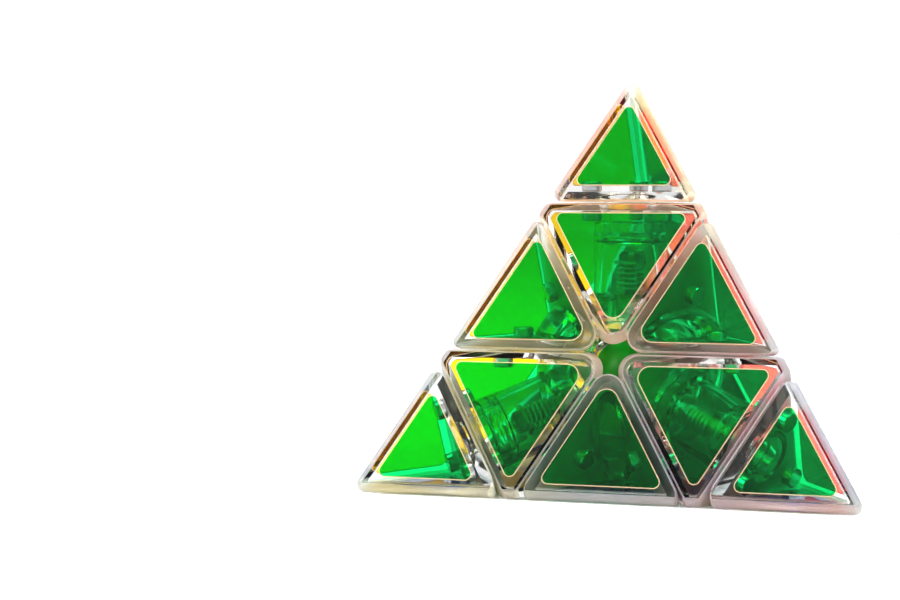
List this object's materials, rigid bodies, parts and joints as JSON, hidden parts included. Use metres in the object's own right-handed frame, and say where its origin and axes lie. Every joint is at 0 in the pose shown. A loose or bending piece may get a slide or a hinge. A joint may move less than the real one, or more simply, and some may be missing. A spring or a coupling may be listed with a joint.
{
  "type": "pyramid twisty puzzle",
  "caption": "Tetrahedral twisty puzzle with clear hollow shells and coloured face films; its layers and its tips turn about axes through the tips.",
  "frame": {"origin": "centre of the core ball, where the four turning axes meet", "axes": "+Z through the top tip, -Y towards the green face, +X along the bottom edge of that face"},
  "size_m": [0.0988, 0.0857, 0.0807],
  "materials": {
    "clear_plastic": "polished clear moulding",
    "inner_plastic": "clear moulding, slightly frosted",
    "core_plastic": "satin moulding",
    "screw_steel": "dark plated steel",
    "spring_steel": "bright drawn steel",
    "film_green": "translucent printed film",
    "film_red": "translucent printed film",
    "film_yellow": "translucent printed film",
    "film_blue": "translucent printed film",
    "magnet": "nickel plated magnet"
  },
  "bodies": {
    "core": {"core": "core_plastic", "screw_top": "screw_steel", "spring_top": "spring_steel", "washer_top": "spring_steel", "screw_left": "screw_steel", "spring_left": "spring_steel", "washer_left": "spring_steel", "screw_right": "screw_steel", "spring_right": "spring_steel", "washer_right": "spring_steel", "screw_back": "screw_steel", "spring_back": "spring_steel", "washer_back": "spring_steel"},
    "axial_top": {"axial_stem_top": "inner_plastic", "axial_shell_top": "clear_plastic"},
    "tip_top": {"tip_base_top": "inner_plastic", "tip_cap_top": "clear_plastic"},
    "axial_left": {"axial_stem_left": "inner_plastic", "axial_shell_left": "clear_plastic"},
    "tip_left": {"tip_base_left": "inner_plastic", "tip_cap_left": "clear_plastic"},
    "axial_right": {"axial_stem_right": "inner_plastic", "axial_shell_right": "clear_plastic"},
    "tip_right": {"tip_base_right": "inner_plastic", "tip_cap_right": "clear_plastic"},
    "axial_back": {"axial_stem_back": "inner_plastic", "axial_shell_back": "clear_plastic"},
    "tip_back": {"tip_base_back": "inner_plastic", "tip_cap_back": "clear_plastic"},
    "edge_top_left": {"edge_foot_top_left": "inner_plastic", "edge_shell_top_left": "clear_plastic"},
    "edge_top_right": {"edge_foot_top_right": "inner_plastic", "edge_shell_top_right": "clear_plastic"},
    "edge_top_back": {"edge_foot_top_back": "inner_plastic", "edge_shell_top_back": "clear_plastic"},
    "edge_left_right": {"edge_foot_left_right": "inner_plastic", "edge_shell_left_right": "clear_plastic"},
    "edge_left_back": {"edge_foot_left_back": "inner_plastic", "edge_shell_left_back": "clear_plastic"},
    "edge_right_back": {"edge_foot_right_back": "inner_plastic", "edge_shell_right_back": "clear_plastic"}
  },
  "joints": [
    {"name": "layer_top", "type": "hinge", "parent": "core", "child": "axial_top", "pos_m": [0, 0, 0], "axis": [0, 0, 1], "range_deg": [-120, 120]},
    {"name": "layer_left", "type": "hinge", "parent": "core", "child": "axial_left", "pos_m": [0, 0, 0], "axis": [-0.8165, -0.4714, -0.3333], "range_deg": [-120, 120]},
    {"name": "layer_right", "type": "hinge", "parent": "core", "child": "axial_right", "pos_m": [0, 0, 0], "axis": [0.8165, -0.4714, -0.3333], "range_deg": [-120, 120]},
    {"name": "layer_back", "type": "hinge", "parent": "core", "child": "axial_back", "pos_m": [0, 0, 0], "axis": [0, 0.9428, -0.3333], "range_deg": [-120, 240]},
    {"name": "tip_turn_top", "type": "hinge", "parent": "axial_top", "child": "tip_top", "pos_m": [0, 0, 0], "axis": [0, 0, 1], "continuous": true},
    {"name": "tip_turn_left", "type": "hinge", "parent": "axial_left", "child": "tip_left", "pos_m": [0, 0, 0], "axis": [-0.8165, -0.4714, -0.3333], "continuous": true},
    {"name": "tip_turn_right", "type": "hinge", "parent": "axial_right", "child": "tip_right", "pos_m": [0, 0, 0], "axis": [0.8165, -0.4714, -0.3333], "continuous": true},
    {"name": "tip_turn_back", "type": "hinge", "parent": "axial_back", "child": "tip_back", "pos_m": [0, 0, 0], "axis": [0, 0.9428, -0.3333], "continuous": true},
    {"name": "edge_top_left_follow", "type": "hinge", "parent": "axial_left", "child": "edge_top_left", "pos_m": [0, 0, 0], "axis": [0, 0, 1], "range_deg": [-120, 120]},
    {"name": "edge_top_right_follow", "type": "hinge", "parent": "axial_top", "child": "edge_top_right", "pos_m": [0, 0, 0], "axis": [0.8165, -0.4714, -0.3333], "range_deg": [-120, 120]},
    {"name": "edge_top_back_follow", "type": "hinge", "parent": "axial_top", "child": "edge_top_back", "pos_m": [0, 0, 0], "axis": [0, 0.9428, -0.3333], "range_deg": [-120, 240]},
    {"name": "edge_left_right_follow", "type": "hinge", "parent": "axial_right", "child": "edge_left_right", "pos_m": [0, 0, 0], "axis": [-0.8165, -0.4714, -0.3333], "range_deg": [-120, 120]},
    {"name": "edge_left_back_follow", "type": "hinge", "parent": "axial_left", "child": "edge_left_back", "pos_m": [0, 0, 0], "axis": [0, 0.9428, -0.3333], "range_deg": [-120, 240]},
    {"name": "edge_right_back_follow", "type": "hinge", "parent": "axial_right", "child": "edge_right_back", "pos_m": [0, 0, 0], "axis": [0, 0.9428, -0.3333], "range_deg": [-120, 240]}
  ],
  "couplings": [
    {"joint": "edge_top_left_follow", "follows": "layer_top", "ratio": 1},
    {"joint": "edge_top_right_follow", "follows": "layer_right", "ratio": 1},
    {"joint": "edge_top_back_follow", "follows": "layer_back", "ratio": 1},
    {"joint": "edge_left_right_follow", "follows": "layer_left", "ratio": 1},
    {"joint": "edge_left_back_follow", "follows": "layer_back", "ratio": 1},
    {"joint": "edge_right_back_follow", "follows": "layer_back", "ratio": 1}
  ]
}
